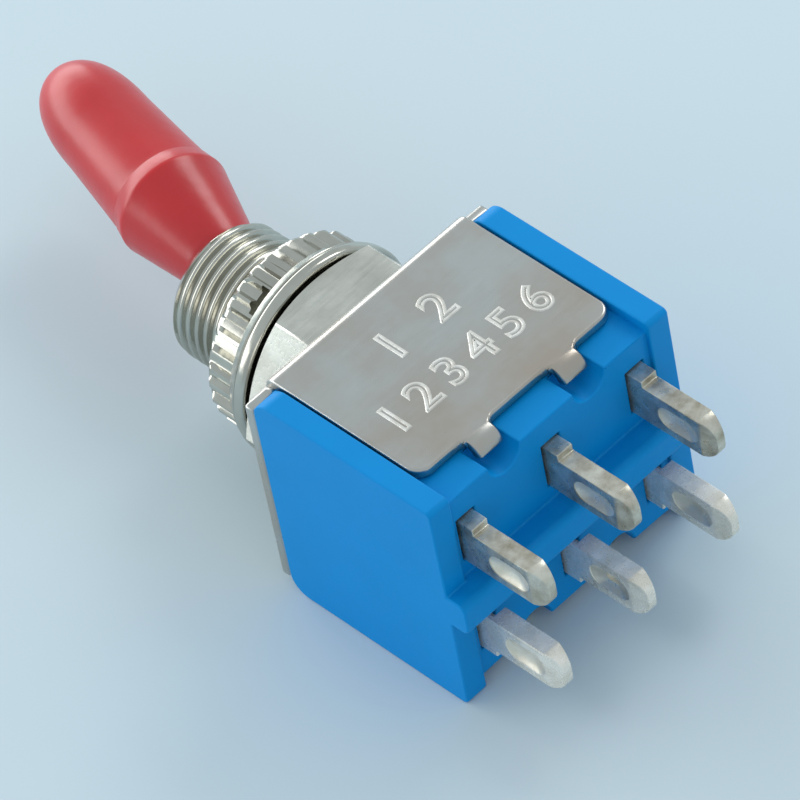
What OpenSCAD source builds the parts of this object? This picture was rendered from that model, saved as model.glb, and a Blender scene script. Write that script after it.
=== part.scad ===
// Panel toggle switch with two poles, two positions and six solder terminals.
// The origin lies on the bushing axis, in the outer face of the sheet metal frame.
// The lever points to -Y and the terminals to +Y. X runs along a row of three terminals,
// and Z is up through the upper side plate of the frame. All sizes are in millimetres.

/* [Case] */
// Length of the case along a row of terminals
case_w = 13.2; // [13:0.1:14]
// Height of the case over its end flanges
case_h = 11.2; // [11:0.1:12]
// Distance from the frame's outer face to the end of the flanges
case_end = 10.15; // [10.1:0.05:10.5]
// Thickness of an end flange
flange_w = 1.1; // [0.9:0.05:1.15]
// Thickness of the long walls
wall_t = 0.65; // [0.5:0.05:0.75]
// Height of the ridge between the two rows
ridge_h = 1.6; // [1.4:0.1:1.8]
// How far the ridge stands out from the terminal face
ridge_out = 1.2; // [0.8:0.1:1.4]
// Depth of the terminal face below the end flanges
face_drop = 0.25; // [0.1:0.05:0.35]

/* [Frame] */
// Thickness of the sheet
sheet_t = 0.5; // [0.4:0.05:0.55]
// Width of a side plate
side_w = 10.8; // [10.2:0.1:10.8]
// Distance from the outer face to the end of a side plate
side_l = 8.45; // [8.2:0.05:8.6]
// Width of a retaining tab
tab_w = 1.3; // [1.1:0.05:1.35]
// Angle through which a retaining tab is bent inwards
tab_bend = 70; // [60:1:75]
// Width of the grooves that take the tabs
groove_w = 1.7; // [1.7:0.05:1.9]
// Depth of the grooves that take the tabs
groove_d = 0.9; // [0.85:0.05:1.1]

/* [Bushing] */
// Outer diameter of the thread
thread_d = 6; // [5.9:0.05:6.1]
// Length of the threaded bushing in front of the frame
bushing_l = 9.05; // [8.8:0.05:9.1]
// Diameter of the collar that holds the bushing inside the frame
collar_d = 7.8; // [7.2:0.1:8]
// Thickness of the collar
collar_t = 0.8; // [0.6:0.05:0.85]

/* [Nuts] */
// Width of the hexagon nut across its flats
hex_af = 9; // [8:0.1:9.2]
// Thickness of the hexagon nut
hex_t = 2.8; // [2.2:0.1:2.9]
// Diameter of the lock ring
ring_d = 9.4; // [9.1:0.1:9.8]
// Thickness of the lock ring
ring_t = 0.6; // [0.4:0.05:0.7]
// Diameter of the knurled nut over its ribs
knurl_d = 8.7; // [8.4:0.1:9]
// Thickness of the knurled nut
knurl_t = 2; // [1.7:0.1:2.1]
// Number of ribs on the knurled nut
knurl_ribs = 32; // [24:1:36]

/* [Lever] */
// Distance of the lever's pivot in front of the frame
pivot_l = 5.6; // [5.5:0.05:5.7]
// Angle between the two positions of the lever
throw_deg = 27; // [25:0.5:27.5]
// Diameter of the lever's ball
ball_d = 3.8; // [3.7:0.05:3.9]
// Diameter of the lever's neck
neck_d = 2.2; // [2:0.05:2.3]
// Length from the pivot to the centre of the tail's tip
tail_l = 8; // [7.9:0.05:8.05]
// Diameter of the tail's tip
tip_d = 1.5; // [1.4:0.05:1.55]

/* [Cap] */
// Distance from the pivot to the cap's open end
cap_start = 4.2; // [4.1:0.05:4.4]
// Diameter of the cap at its open end
cap_mouth_d = 3.3; // [3.2:0.1:3.5]
// Distance from the pivot to the cap's shoulder
cap_shoulder = 8.3; // [8:0.1:8.6]
// Largest diameter of the cap, at its shoulder
cap_d = 5; // [4.8:0.1:5.2]
// Distance from the pivot to the cap's tip
cap_end = 17.6; // [17.2:0.05:17.8]

/* [Terminals] */
// Distance between neighbouring terminals in a row
pitch = 4.7; // [4.6:0.05:4.75]
// Distance between the two rows
row_gap = 4.9; // [4.8:0.05:5]
// Width of a blade
blade_w = 1.95; // [1.8:0.05:2.1]
// Thickness of a blade
blade_t = 0.84; // [0.7:0.02:0.9]
// Distance from the frame's outer face to the tip of a blade
blade_end = 14.3; // [14.1:0.1:15]
// Width of the solder eyelet
eyelet_w = 1.1; // [0.9:0.05:1.2]
// Length of the solder eyelet
eyelet_l = 2.05; // [1.6:0.05:2.2]

/* [Contacts] */
// Length of the carriage along its travel
carriage_l = 4.4; // [4:0.1:4.6]
// Thickness of the carriage
carriage_t = 3.1; // [3:0.05:3.2]
// Diameter of a plunger
plunger_d = 1.5; // [1.4:0.05:1.6]
// Tilt of a contact rocker either way
rocker_tilt = 8; // [7:0.25:8.25]
// Thickness of a contact rocker
rocker_t = 0.5; // [0.45:0.05:0.5]

/* [Hidden] */
$fn = 96;

steel = [0.62, 0.61, 0.59];
nickel = [0.74, 0.75, 0.73];
blue = [0.1, 0.54, 0.84];
red = [0.78, 0.25, 0.25];
tin = [0.7, 0.7, 0.66];
nylon = [0.9, 0.89, 0.84];
silver = [0.8, 0.8, 0.8];

eps = 0.01;
// Running clearance of sliding and turning pieces, and clearance of seated ones
run_gap = 0.05;
seat_gap = 0.02;
// Clearance on each side of a side plate between the end flanges
plate_gap = 0.08;

// Case
side_z = case_h / 2;
body_z = side_z - sheet_t - 0.05;
face_y = case_end - face_drop;
floor_y = side_l - 0.3;
cavity_x = case_w / 2 - 0.7;
cavity_z = body_z - wall_t;
ridge_y = face_y + ridge_out;
ridge_corner_r = 0.35;
flange_front_r = 0.9;
flange_end_r = 0.25;
barrier_t = 0.7;
groove_y = floor_y + 0.3;

// Frame
bend_r = sheet_t + 0.15;
bend_inner_r = 0.15;
plate_corner_r = 0.7;
tab_x = pitch / 2;
tab_fillet_r = 0.4;
tab_neck = 0.1;
tab_inner_r = 0.25;
tab_outer_r = tab_inner_r + sheet_t;
tab_end_l = 0.2;

// Bushing and lever
thread_r = thread_d / 2;
thread_chamfer = 0.4;
collar_y = sheet_t + collar_t;
ball_r = ball_d / 2;
bore_r = ball_r + run_gap;
throw_half = throw_deg / 2;
lean = tan(throw_half);
neck_r = neck_d / 2;
tip_r = tip_d / 2;
shank_r = tip_r - 0.25;
// Clearance of the neck and the tail in the bushing's two cones
cone_gap = 0.12;
mouth_r = (bushing_l - pivot_l) * lean + neck_r / cos(throw_half) + cone_gap;
tail_r = (pivot_l + collar_y) * lean + shank_r / cos(throw_half) + cone_gap;
bat_r = 1.5;
bat_end = cap_end - 4.2;

// Cap
cap_r = cap_d / 2;
cap_mouth_r = cap_mouth_d / 2;
cap_step = cap_shoulder + 0.95;
dome_r = 1.7;

// Nuts and lock ring
ring_y = hex_t + 0.15;
knurl_y = ring_y + ring_t;
knurl_r = knurl_d / 2;
rib_h = 0.22;
knurl_root_r = knurl_r - rib_h;
knurl_collar_t = 0.45;
knurl_chamfer_l = 1.2;
rib_foot = 0.32;
rib_crest = 0.24;
notch_turn = 65;
notch_w = 1.2;
notch_t = 0.3;

// Terminals, counted from 1 to 3 in the upper row and from 4 to 6 in the lower row
root_y = case_end + 0.5;
root_h = 0.3;
contact_r = 0.75;
contact_t = 0.3;
blade_z = blade_w / 2;
tip_corner_r = 0.8;
tip_taper = 0.8;
tip_t = 0.4;
notch_depth = 1;
notch_skin = 0.2;
inner_w = 1.9;
slot_gap = 0.08;

// Carriage, plungers and rockers
rest_x = tail_l * sin(throw_half);
carriage_y = collar_y + 0.08;
carriage_z = cavity_z - run_gap;
carriage_plate_t = 1.4;
pocket_y = tail_l + tip_r + 0.1 - pivot_l;
socket_r = plunger_d / 2 + run_gap;
socket_y = carriage_y + 0.8;
tower_r = socket_r + 0.5;
spring_wire_r = 0.09;
spring_r = plunger_d / 2 - spring_wire_r - 0.12;
spring_turns = 4;
spring_steps = 16;
plunger_y = socket_y + 1.3;
cradle_r = blade_t / 2;
rocker_w = 1.9;
rocker_arm = pitch + 0.4;
rocker_pivot_y = 6.9;
rocker_h = cradle_r + 0.04 + 0.99 * rocker_t;
rocker_top_y = rocker_pivot_y - rocker_h;
dish_r = rest_x / 2 / rocker_tilt * 180 / PI;
button_x = pitch - 0.15;
button_r = 0.6;
button_t = 0.25;
contact_y = rocker_pivot_y + (rocker_t - rocker_h) * cos(rocker_tilt) + button_t + 0.02;

// Turns a profile about the bushing axis: its x is the radius and its y the distance in front
module turned() rotate([90, 0, 0]) rotate_extrude() children();

// Extrudes a profile drawn in Y and Z by width w, centred on X = x
module across(w, x = 0) translate([x - w / 2, 0, 0]) rotate([90, 0, 90]) linear_extrude(w) children();

// Rectangle from y0 to y1 and from -z to z, with corner radius r0 at y0 and r1 at y1
module rounded_bar(y0, y1, z, r0, r1) {
    translate([y0 + r0, -z]) square([y1 - r1 - y0 - r0, 2 * z]);
    translate([y0, r0 - z]) square([r0, 2 * (z - r0)]);
    translate([y1 - r1, r1 - z]) square([r1, 2 * (z - r1)]);
    for (side = [-1, 1]) {
        translate([y0 + r0, side * (z - r0)]) circle(r0);
        translate([y1 - r1, side * (z - r1)]) circle(r1);
    }
}

// Section of the folded sheet: a front plate between two side plates, rounded at the folds
module fold_section() {
    far = side_l + 2;
    difference() {
        rounded_bar(0, far, side_z, bend_r, bend_inner_r);
        rounded_bar(sheet_t, far + 1, side_z - sheet_t, bend_inner_r, bend_inner_r);
    }
}

// Outline of a side plate seen from above, with the roots of its two tabs
module side_outline() {
    half = side_w / 2;
    translate([-half, 0]) square([side_w, side_l - plate_corner_r]);
    translate([plate_corner_r - half, 0]) square([side_w - 2 * plate_corner_r, side_l]);
    for (side = [-1, 1]) {
        translate([side * (half - plate_corner_r), side_l - plate_corner_r]) circle(plate_corner_r);
        translate([side * tab_x, side_l]) tab_root();
    }
}

// Neck of a tab with a fillet on each side, standing on the plate's edge
module tab_root() {
    translate([-tab_w / 2, -eps]) square([tab_w, tab_neck + eps]);
    for (side = [0, 1]) mirror([side, 0]) difference() {
        translate([tab_w / 2, -eps]) square([tab_fillet_r, tab_neck + eps]);
        translate([tab_w / 2 + tab_fillet_r, tab_fillet_r]) circle(tab_fillet_r);
    }
}

// Bent end of a tab in Y and Z: an arc followed by a straight end
module tab_hook() {
    translate([side_l + tab_neck, side_z - tab_outer_r]) {
        difference() {
            circle(tab_outer_r);
            circle(tab_inner_r);
            rotate(90 - tab_bend) translate([-2 * tab_outer_r, -2 * tab_outer_r])
                square([4 * tab_outer_r, 2 * tab_outer_r]);
            translate([-2 * tab_outer_r, -2 * tab_outer_r]) square([2 * tab_outer_r, 4 * tab_outer_r]);
        }
        rotate(90 - tab_bend) translate([tab_inner_r, -tab_end_l]) square([sheet_t, tab_end_l + eps]);
    }
}

module frame() {
    color(steel) difference() {
        union() {
            translate([-case_w / 2, 0, bend_r - side_z])
                cube([case_w, sheet_t, 2 * (side_z - bend_r)]);
            intersection() {
                across(side_w) fold_section();
                translate([0, 0, -side_z - 1]) linear_extrude(2 * side_z + 2) side_outline();
            }
            for (side = [-1, 1], z = [0, 1]) mirror([0, 0, z]) across(tab_w, side * tab_x) tab_hook();
        }
        translate([0, sheet_t + 1, 0]) rotate([90, 0, 0])
            cylinder(h = sheet_t + 2, r = thread_r + seat_gap);
    }
}

module bushing() {
    color(nickel) turned() difference() {
        polygon([
            [0, -collar_y], [collar_d / 2, -collar_y], [collar_d / 2, -sheet_t], [thread_r, -sheet_t],
            [thread_r, bushing_l - thread_chamfer], [thread_r - thread_chamfer, bushing_l], [0, bushing_l]
        ]);
        bushing_bore();
    }
}

// Bore of the bushing: a seat round the ball, with a cone for the neck and a cone for the tail
module bushing_bore() {
    cone_y = pivot_l - (bore_r - shank_r / cos(throw_half) - cone_gap) / lean;
    intersection() {
        translate([0, pivot_l]) circle(bore_r);
        translate([0, pivot_l]) square(2 * bore_r);
    }
    translate([0, cone_y]) square([bore_r, pivot_l - cone_y]);
    polygon([[0, -collar_y - eps], [tail_r, -collar_y - eps], [bore_r, cone_y], [0, cone_y]]);
    polygon([
        [0, pivot_l], [mouth_r - (bushing_l - pivot_l) * lean, pivot_l],
        [mouth_r + eps * lean, bushing_l + eps], [0, bushing_l + eps]
    ]);
}

module hex_nut() {
    corner_r = hex_af / 2 / cos(30);
    ring_r = hex_af / 2 - 0.1;
    color(nickel) difference() {
        intersection() {
            rotate([90, 0, 0]) linear_extrude(hex_t) circle(corner_r, $fn = 6);
            turned() polygon([
                [0, 0], [corner_r, 0], [corner_r, hex_t - (corner_r - ring_r) * tan(30)],
                [ring_r, hex_t], [0, hex_t]
            ]);
        }
        thread_hole(0, hex_t);
    }
}

// Hole for the thread from distance y0 to y1 in front of the frame
module thread_hole(y0, y1) {
    translate([0, 1 - y0, 0]) rotate([90, 0, 0]) cylinder(h = y1 - y0 + 2, r = thread_r + seat_gap);
}

module lock_ring() {
    ring_r = ring_d / 2;
    edge_r = 0.2;
    color(nickel) difference() {
        translate([0, -ring_y, 0]) turned() difference() {
            rounded_washer(ring_r, ring_t, edge_r);
            square([thread_r - 0.5, ring_t]);
        }
        thread_hole(ring_y, ring_y + ring_t);
    }
}

// Half section of a disc of radius r and thickness t whose outer edges have radius e
module rounded_washer(r, t, e) {
    square([r - e, t]);
    translate([r - e, e]) square([e, t - 2 * e]);
    for (y = [e, t - e]) translate([r - e, y]) circle(e);
}

// Outline of the knurled nut: every rib rises from the root circle and has a flat crest
module rib_outline() {
    step = 360 / knurl_ribs;
    edges = [[-rib_foot, 0], [-rib_crest, 1], [rib_crest, 1], [rib_foot, 0]];
    polygon([
        for (rib = [0 : knurl_ribs - 1], edge = edges)
            let (turn = (rib + edge[0]) * step, r = edge[1] == 1 ? knurl_r : knurl_root_r)
            [r * cos(turn), r * sin(turn)]
    ]);
}

module knurled_nut() {
    color(nickel) difference() {
        translate([0, -knurl_y, 0]) {
            intersection() {
                rotate([90, 0, 0]) linear_extrude(knurl_t) rib_outline();
                turned() polygon([
                    [0, 0], [knurl_r + 1, 0], [knurl_r + 1, knurl_t - knurl_chamfer_l],
                    [knurl_root_r - 0.05, knurl_t], [0, knurl_t]
                ]);
            }
            turned() polygon([
                [0, 0], [knurl_r + 0.25, 0], [knurl_r + 0.06, knurl_collar_t], [0, knurl_collar_t]
            ]);
        }
        thread_hole(knurl_y, knurl_y + knurl_t);
        translate([0, -knurl_y - knurl_collar_t, 0]) rotate([90, 0, 0]) rotate(notch_turn)
            translate([knurl_r - 0.25, -notch_w / 2, -notch_t / 2]) cube([1, notch_w, notch_t]);
    }
}

// Turns a profile about the lever's axis in the rest position, with the pivot at y = 0
module on_lever() translate([0, -pivot_l, 0]) rotate([0, 0, -throw_half]) turned() children();

// Half section of the bat inside the cap, larger by g all round
module bat_section(g = 0) {
    round_y = bat_end - bat_r;
    polygon([
        [0, 0], [neck_r + g, 0], [neck_r + g, cap_start + 0.6], [bat_r + g, round_y], [0, round_y]
    ]);
    intersection() {
        translate([0, round_y]) circle(bat_r + g);
        translate([0, round_y]) square(2 * bat_r);
    }
}

module lever() {
    color(nickel) on_lever() {
        bat_section();
        intersection() {
            union() {
                circle(ball_r);
                translate([0, -tail_l]) circle(tip_r);
                translate([0, -tail_l]) square([shank_r, tail_l]);
            }
            translate([0, -tail_l - tip_r]) square([ball_r + 1, tail_l + tip_r + ball_r]);
        }
    }
}

module lever_cap() {
    dome_y = cap_end - dome_r;
    color(red) on_lever() difference() {
        union() {
            polygon([
                [0, cap_start], [cap_mouth_r, cap_start], [cap_r - 0.05, cap_shoulder - 0.2],
                [cap_r, cap_shoulder], [cap_r - 0.15, cap_step], [cap_r - 0.2, cap_step],
                [cap_r - 0.34, cap_step + 3.2], [cap_r - 0.5, cap_step + 5.4],
                [dome_r * cos(14), dome_y + dome_r * sin(14)], [0, dome_y]
            ]);
            intersection() {
                translate([0, dome_y]) circle(dome_r);
                translate([0, dome_y]) square(2 * dome_r);
            }
        }
        bat_section(seat_gap);
    }
}

// Runs its children once for each row, mirrored in the lower one
module in_row(row) mirror([0, 0, row > 0 ? 0 : 1]) translate([0, 0, row_gap / 2]) children();

module case() {
    color(blue) {
        difference() {
            case_shell();
            translate([-cavity_x, 0, -cavity_z]) cube([2 * cavity_x, floor_y, 2 * cavity_z]);
            for (side = [-1, 1], z = [0, 1]) mirror([0, 0, z]) tab_groove(side * tab_x);
            for (row = [-1, 1], column = [-1 : 1]) in_row(row) terminal_slot(column);
        }
        translate([-cavity_x - eps, rocker_top_y - 1.2, -barrier_t / 2])
            cube([2 * (cavity_x + eps), floor_y + eps - rocker_top_y + 1.2, barrier_t]);
    }
}

// Outer form of the case: a body between two end flanges, with a ridge along the terminal face
module case_shell() {
    inner_w = case_w - 2 * flange_w;
    translate([-inner_w / 2 - eps, sheet_t, -body_z])
        cube([inner_w + 2 * eps, face_y - sheet_t, 2 * body_z]);
    difference() {
        for (side = [-1, 1]) across(flange_w, side * (case_w - flange_w) / 2)
            rounded_bar(sheet_t, case_end, side_z, flange_front_r, flange_end_r);
        for (z = [0, 1]) mirror([0, 0, z]) plate_channel();
    }
    across(case_w) rounded_bar(face_y - 1, ridge_y, ridge_h / 2, eps, ridge_corner_r);
}

// Room between the end flanges for a side plate and its tabs
module plate_channel() {
    half = side_w / 2 + plate_gap;
    translate([-half, sheet_t - eps, side_z - sheet_t - plate_gap / 2])
        cube([2 * half, case_end, sheet_t + plate_gap]);
}

// Round-bottomed groove that takes one bent tab
module tab_groove(x) {
    r = groove_w / 2;
    translate([x, ridge_y + 1, body_z - groove_d + r]) rotate([90, 0, 0])
        linear_extrude(ridge_y + 1 - groove_y) {
            circle(r);
            translate([-r, 0]) square([groove_w, side_z]);
        }
}

// Slot for a terminal, a little larger than the terminal's root
module terminal_slot(column) {
    translate([column * pitch - blade_t / 2 - slot_gap, 0, -blade_z - seat_gap])
        cube([blade_t + 2 * slot_gap, ridge_y, blade_w + root_h + seat_gap + slot_gap]);
}

// Terminal number n. The outer ones end in a fixed contact and the middle ones in a round cradle
module terminal(n) {
    column = (n - 1) % 3 - 1;
    common = column == 0;
    inner_y = common ? rocker_pivot_y : contact_y + contact_t;
    color(tin) in_row(n > 3 ? -1 : 1) {
        translate([column * pitch, 0, 0]) difference() {
            intersection() {
                across(blade_t) blade_outline(inner_y);
                translate([0, 0, -blade_w]) linear_extrude(2 * blade_w) blade_edge();
            }
            across(blade_t + 1) eyelet();
            translate([-blade_t / 2 - 1, face_y - 1, -blade_z - 1])
                cube([blade_t + 1 - notch_skin, root_y + 1 - face_y, 1 + notch_depth]);
        }
        if (common) translate([0, inner_y, -inner_w / 2]) cylinder(h = inner_w, r = cradle_r);
        else translate([column * pitch, inner_y + eps, 0]) rotate([90, 0, 0])
            cylinder(h = contact_t + eps, r = contact_r);
    }
}

// Outline of a terminal in Y and Z: inner blade, root block and outer blade with a rounded tip
module blade_outline(inner_y) {
    round_y = blade_end - tip_corner_r;
    translate([inner_y, -inner_w / 2]) square([floor_y - 0.1 - inner_y, inner_w]);
    translate([inner_y + 0.2, -blade_z]) square([round_y - inner_y - 0.2, blade_w]);
    translate([inner_y + 0.2, -blade_z]) square([root_y - inner_y - 0.2, blade_w + root_h]);
    translate([round_y, tip_corner_r - blade_z]) square([tip_corner_r, blade_w - 2 * tip_corner_r]);
    for (side = [-1, 1]) translate([round_y, side * (blade_z - tip_corner_r)]) circle(tip_corner_r);
}

// Outline of a terminal in X and Y, tapered towards the tip on both faces
module blade_edge() {
    half = blade_t / 2 + 0.001;
    polygon([
        [-half, 0], [half, 0], [half, blade_end - tip_taper], [tip_t / 2, blade_end],
        [-tip_t / 2, blade_end], [-half, blade_end - tip_taper]
    ]);
}

// Oblong solder eyelet in Y and Z
module eyelet() {
    r = eyelet_w / 2;
    far_y = blade_end - tip_taper - 0.1 - r;
    near_y = far_y - eyelet_l + eyelet_w;
    translate([far_y, 0]) circle(r);
    translate([near_y, 0]) circle(r);
    translate([near_y, -r]) square([far_y - near_y, eyelet_w]);
}

module carriage() {
    color(nylon) translate([rest_x, 0, 0]) difference() {
        union() {
            translate([-carriage_l / 2, carriage_y, -carriage_z])
                cube([carriage_l, carriage_plate_t, 2 * carriage_z]);
            bored_post(0, carriage_y, pocket_y + 0.6, tip_r + 0.8);
            for (row = [-1, 1]) bored_post(row, carriage_y, carriage_y + carriage_t, tower_r);
        }
        bored_post(0, carriage_y - 1, pocket_y, tip_r + run_gap);
        for (row = [-1, 1]) bored_post(row, socket_y, carriage_y + carriage_t + 1, socket_r);
    }
}

// Upright cylinder from y0 to y1 on the middle (row 0) or in the line of a row
module bored_post(row, y0, y1, r) {
    translate([0, y1, row * row_gap / 2]) rotate([90, 0, 0]) cylinder(h = y1 - y0, r = r);
}

// Spring-loaded plunger of a row, with a round tip against the rocker
module plunger(row) {
    r = plunger_d / 2;
    tip_y = rocker_top_y - run_gap;
    color(silver) translate([rest_x, 0, row * row_gap / 2]) mirror([0, 1, 0]) turned() {
        translate([0, plunger_y]) square([r, tip_y - r - plunger_y]);
        intersection() {
            translate([0, tip_y - r]) circle(r);
            translate([0, tip_y - r]) square(2 * r);
        }
    }
}

// Compression spring of a row: round wire wound about the plunger's axis
module spring(row) {
    sides = 6;
    rings = spring_turns * spring_steps;
    y0 = socket_y + spring_wire_r + 0.02;
    rise = (plunger_y - socket_y - 2 * spring_wire_r - 0.04) / rings;
    points = [
        for (ring = [0 : rings], side = [0 : sides - 1])
            let (turn = ring * 360 / spring_steps, lie = side * 360 / sides,
                 r = spring_r + spring_wire_r * cos(lie))
            [r * cos(turn), y0 + ring * rise + spring_wire_r * sin(lie), r * sin(turn)]
    ];
    walls = [
        for (ring = [0 : rings - 1], side = [0 : sides - 1])
            let (a = ring * sides + side, b = ring * sides + (side + 1) % sides)
            [a, b, b + sides, a + sides]
    ];
    ends = [
        [for (side = [sides - 1 : -1 : 0]) side],
        [for (side = [0 : sides - 1]) rings * sides + side]
    ];
    color(steel) translate([rest_x, 0, row * row_gap / 2]) polyhedron(points, concat(walls, ends));
}

// Contact rocker of a row: a bent strip on the cradle, with a contact button at each end
module rocker(row) {
    rise = rocker_arm * tan(rocker_tilt);
    color(silver) translate([0, 0, row * row_gap / 2]) translate([0, rocker_pivot_y, 0])
    rotate([0, 0, rocker_tilt]) translate([0, -rocker_h, 0]) difference() {
        union() {
            translate([0, 0, -rocker_w / 2]) linear_extrude(rocker_w) {
                polygon([
                    [0, 0], [rocker_arm, -rise], [rocker_arm, rocker_t - rise], [0, rocker_t],
                    [-rocker_arm, rocker_t - rise], [-rocker_arm, -rise]
                ]);
                translate([0, rocker_h]) intersection() {
                    circle(2 * cradle_r);
                    translate([-1, -rocker_h + 0.05]) square([2, rocker_h - 0.05]);
                }
            }
            for (side = [-1, 1]) translate([side * button_x, rocker_t - button_x * tan(rocker_tilt), 0])
                rotate([-90, 0, -side * rocker_tilt]) translate([0, 0, -0.1])
                cylinder(h = button_t + 0.1, r = button_r);
        }
        translate([0, rocker_h, -rocker_w]) cylinder(h = 2 * rocker_w, r = cradle_r + 0.04);
        translate([0, -dish_r, -rocker_w]) cylinder(h = 2 * rocker_w, r = dish_r, $fn = 720);
    }
}

frame();
bushing();
hex_nut();
lock_ring();
knurled_nut();
lever();
lever_cap();
case();
terminal(1);  // terminal_1
terminal(2);  // terminal_2
terminal(3);  // terminal_3
terminal(4);  // terminal_4
terminal(5);  // terminal_5
terminal(6);  // terminal_6
carriage();
plunger(1);  // plunger_upper
plunger(-1);  // plunger_lower
spring(1);  // spring_upper
spring(-1);  // spring_lower
rocker(1);  // rocker_upper
rocker(-1);  // rocker_lower
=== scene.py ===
"""Looks of a miniature panel toggle switch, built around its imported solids."""

import logging
import math
from dataclasses import dataclass
from enum import Enum

import bmesh
import bpy
from bmesh.types import BMesh, BMVert
from bpy.types import ID, Material, Mesh, Node, NodeSocket, NodeTree, Object
from mathutils import Matrix, Vector


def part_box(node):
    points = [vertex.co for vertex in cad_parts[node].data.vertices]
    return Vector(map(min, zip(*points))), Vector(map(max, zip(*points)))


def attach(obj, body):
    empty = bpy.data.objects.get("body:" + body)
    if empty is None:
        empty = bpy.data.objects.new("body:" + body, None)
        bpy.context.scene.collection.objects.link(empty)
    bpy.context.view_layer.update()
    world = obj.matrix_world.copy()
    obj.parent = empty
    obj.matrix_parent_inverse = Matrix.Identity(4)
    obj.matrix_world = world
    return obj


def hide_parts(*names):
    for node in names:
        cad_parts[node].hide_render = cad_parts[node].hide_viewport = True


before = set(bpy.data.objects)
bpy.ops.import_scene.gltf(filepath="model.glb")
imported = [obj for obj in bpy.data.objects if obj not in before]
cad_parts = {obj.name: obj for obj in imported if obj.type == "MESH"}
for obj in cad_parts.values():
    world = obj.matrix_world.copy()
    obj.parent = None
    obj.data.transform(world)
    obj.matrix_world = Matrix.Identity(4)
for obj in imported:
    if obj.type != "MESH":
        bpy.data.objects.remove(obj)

LOG = logging.getLogger("toggle_switch")
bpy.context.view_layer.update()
MM = 0.001  # metres in a millimetre
MERGE_MM = 0.0005  # nearer points of a drawing become one
FLAT_ANGLE = 0.4  # degrees below which two faces of a drawing become one
EDGE_ANGLE = 34.0  # degrees above which an edge is rounded
SPARED_WIDTHS = 4  # how far a spared place reaches, in widths of the rounded edge
PIVOT = 5.6  # millimetres from the frame's face to the lever's pivot
LEAN = 13.5  # degrees by which the lever stands off the bushing axis
NUT_HOLE_R = 3.02  # millimetres

MATH = "ShaderNodeMath"
# Places of the sockets that share a name, in a colour Mix, a number Mix and a Random Value
COLOUR_SHARE, COLOUR_ONE, COLOUR_TWO, COLOUR_OUT = 0, 6, 7, 2
NUMBER_SHARE, NUMBER_ONE, NUMBER_TWO = 0, 2, 3
RANDOM_LOW, RANDOM_HIGH, RANDOM_OUT = 2, 3, 1

NodeInputs = dict | tuple
Source = Node | NodeSocket
Pair = tuple[float, float]
Triple = tuple[float, float, float]


class Body(str, Enum):
    """Rigid bodies that carry the new pieces."""

    HOUSING = "housing"
    LEVER = "lever"


class Slot(str, Enum):
    """Names of material slots."""

    STEEL = "frame_steel"
    NICKEL = "nickel_plate"
    BLUE = "blue_plastic"
    RED = "red_vinyl"
    TIN = "tinned_brass"


# ---------------- nodes and meshes


def linear(hex_colour: str) -> tuple[float, float, float, float]:
    """Turn an sRGB colour into the linear values that shaders use.

    Args:
        hex_colour: Six hex digits after a hash sign.

    Returns:
        Red, green, blue and full alpha.
    """
    parts = [int(hex_colour[i:i + 2], 16) / 255 for i in (1, 3, 5)]
    red, green, blue = [p / 12.92 if p <= 0.04045 else ((p + 0.055) / 1.055) ** 2.4 for p in parts]
    return red, green, blue, 1.0


def add_node(tree: NodeTree, kind: str, inputs: NodeInputs = (), **settings: object) -> Node:
    """Add a node, set its properties and feed its inputs.

    Args:
        tree: The tree that gets the node.
        kind: Blender's type name of the node.
        inputs: Values by socket name or position. A node stands for its first output.
        settings: Properties of the node.

    Returns:
        The new node.
    """
    node = tree.nodes.new(kind)
    for name, value in settings.items():
        setattr(node, name, value)
    for key, value in inputs.items() if isinstance(inputs, dict) else enumerate(inputs):
        if isinstance(value, Node):
            value = value.outputs[0]
        if isinstance(value, NodeSocket):
            tree.links.new(value, node.inputs[key])
        else:
            node.inputs[key].default_value = value
    return node


def new_tree(name: str, sizes: dict[str, type]) -> tuple[NodeTree, Node]:
    """Start a geometry tree with named inputs and one geometry output.

    Args:
        name: Name of the tree.
        sizes: Type, int or float, of each named input.

    Returns:
        The tree and its group input node.
    """
    tree = bpy.data.node_groups.new(name, "GeometryNodeTree")
    tree.interface.new_socket("Geometry", in_out="OUTPUT", socket_type="NodeSocketGeometry")
    for label, kind in sizes.items():
        socket = "NodeSocketInt" if kind is int else "NodeSocketFloat"
        tree.interface.new_socket(label, in_out="INPUT", socket_type=socket)
    return tree, tree.nodes.new("NodeGroupInput")


def end_tree(tree: NodeTree, geometry: Node, material: Material) -> None:
    """Merge, realise and paint what a tree has made, and send it out.

    Args:
        tree: The tree to finish.
        geometry: Node whose first output is the geometry.
        material: Finish of every face.
    """
    merged = add_node(tree, "GeometryNodeMergeByDistance", {"Geometry": geometry, "Distance": MERGE_MM})
    real = add_node(tree, "GeometryNodeRealizeInstances", {"Geometry": merged})
    painted = add_node(tree, "GeometryNodeSetMaterial", {"Geometry": real, "Material": material})
    add_node(tree, "NodeGroupOutput", (painted,))


def flat_sheet(tree: NodeTree, rows: Source, columns: Source) -> tuple[Node, Node, Node]:
    """Lay a flat sheet that is rolled up later.

    Args:
        tree: The geometry tree.
        rows: Number of steps along the axis.
        columns: Number of steps round the axis.

    Returns:
        The sheet, and each point's share of the way along it and round it.
    """
    along = add_node(tree, MATH, (rows, 1.0), operation="ADD")
    around = add_node(tree, MATH, (columns, 1.0), operation="ADD")
    sheet = add_node(tree, "GeometryNodeMeshGrid", {
        "Size X": 1.0, "Size Y": 1.0, "Vertices X": along, "Vertices Y": around})
    place = add_node(tree, "ShaderNodeSeparateXYZ", (add_node(tree, "GeometryNodeInputPosition"),))
    row = add_node(tree, MATH, (place.outputs["X"], 0.5), operation="ADD")
    turn = add_node(tree, MATH, (place.outputs["Y"], 0.5), operation="ADD")
    return sheet, row, turn


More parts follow.
